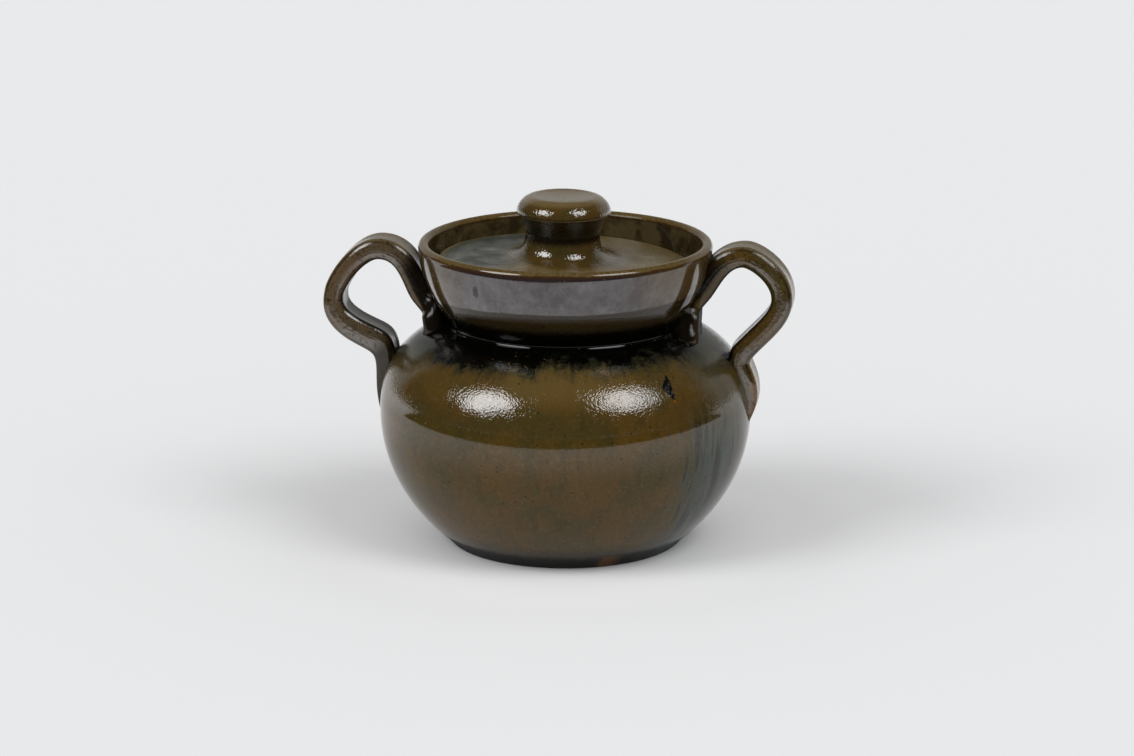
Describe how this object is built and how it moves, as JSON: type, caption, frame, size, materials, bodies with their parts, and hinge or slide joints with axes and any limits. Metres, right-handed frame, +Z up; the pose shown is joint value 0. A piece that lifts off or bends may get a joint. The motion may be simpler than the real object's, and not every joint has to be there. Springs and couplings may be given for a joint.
{
  "type": "lidded sugar jar",
  "caption": "Glazed stoneware sugar jar with a round belly, flared collar, looped strap handles and an inset lift-off lid with a round knob.",
  "frame": {"origin": "centre of the flat foot, on the surface that the jar stands on", "axes": "+Z up along the pot's axis, +X towards the right handle, so that the two handles lie along X"},
  "size_m": [0.166, 0.1306, 0.1236],
  "materials": {
    "pot_glaze": "glossy olive-brown glaze, black where it pools at the neck",
    "handle_glaze": "glossy olive-brown glaze",
    "lid_glaze": "satin olive glaze with a grey-blue bloom",
    "knob_glaze": "glossy brown glaze"
  },
  "bodies": {
    "jar": {"pot_body": "pot_glaze", "left_handle": "handle_glaze", "right_handle": "handle_glaze"},
    "lid": {"lid_disc": "lid_glaze", "lid_knob": "knob_glaze"}
  },
  "joints": [
    {"name": "lid_lift", "type": "slide", "parent": "jar", "child": "lid", "axis": [0, 0, 1], "range_m": [0, 0.06]}
  ]
}
